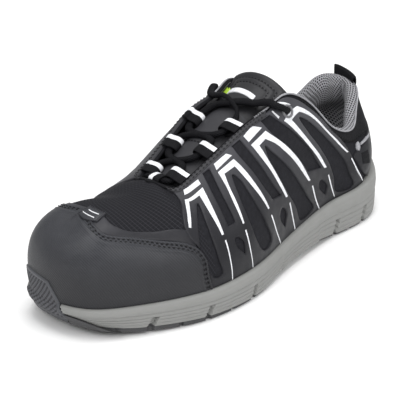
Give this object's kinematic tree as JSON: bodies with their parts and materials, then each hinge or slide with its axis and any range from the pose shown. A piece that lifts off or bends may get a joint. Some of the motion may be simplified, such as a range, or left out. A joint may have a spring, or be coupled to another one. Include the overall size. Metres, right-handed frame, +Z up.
{
  "type": "safety sneaker",
  "caption": "Lace-up safety sneaker with a caged textile upper, padded collar and tongue, toe cap, toe bumper and a lugged rubber outsole, left foot",
  "frame": {"origin": "On the floor, under the middle of the heel, where the heel of the outsole rests.", "axes": "+X points to the toe, +Y to the outer side of a left foot, +Z up."},
  "size_m": [0.289, 0.1123, 0.1158],
  "materials": {
    "outsole_rubber": "matte dark tread rubber",
    "midsole_foam": "matte light grey moulded foam",
    "bumper_rubber": "matte grey ribbed rubber",
    "insole_felt": "felted dark grey",
    "upper_textile": "woven near-black textile",
    "coated_overlay": "satin coated dark grey microfibre",
    "lace_webbing": "woven black polyester",
    "eyelet_finish": "light grey matte ring"
  },
  "bodies": {
    "root": {"outsole_heel": "outsole_rubber", "outsole_forefoot": "outsole_rubber", "midsole": "midsole_foam", "toe_bumper": "bumper_rubber", "insole": "insole_felt", "upper": "upper_textile", "tongue": "upper_textile", "toe_cap": "coated_overlay", "cage_outer": "coated_overlay", "cage_inner": "coated_overlay", "heel_counter": "coated_overlay", "heel_pull": "lace_webbing", "lace": "lace_webbing", "lace_loop_toe": "lace_webbing", "lace_loop_outer_1": "lace_webbing", "lace_loop_outer_2": "lace_webbing", "lace_loop_outer_3": "lace_webbing", "lace_loop_inner_1": "lace_webbing", "lace_loop_inner_2": "lace_webbing", "lace_loop_inner_3": "lace_webbing", "eyelet_outer": "eyelet_finish", "eyelet_inner": "eyelet_finish"}
  },
  "joints": []
}
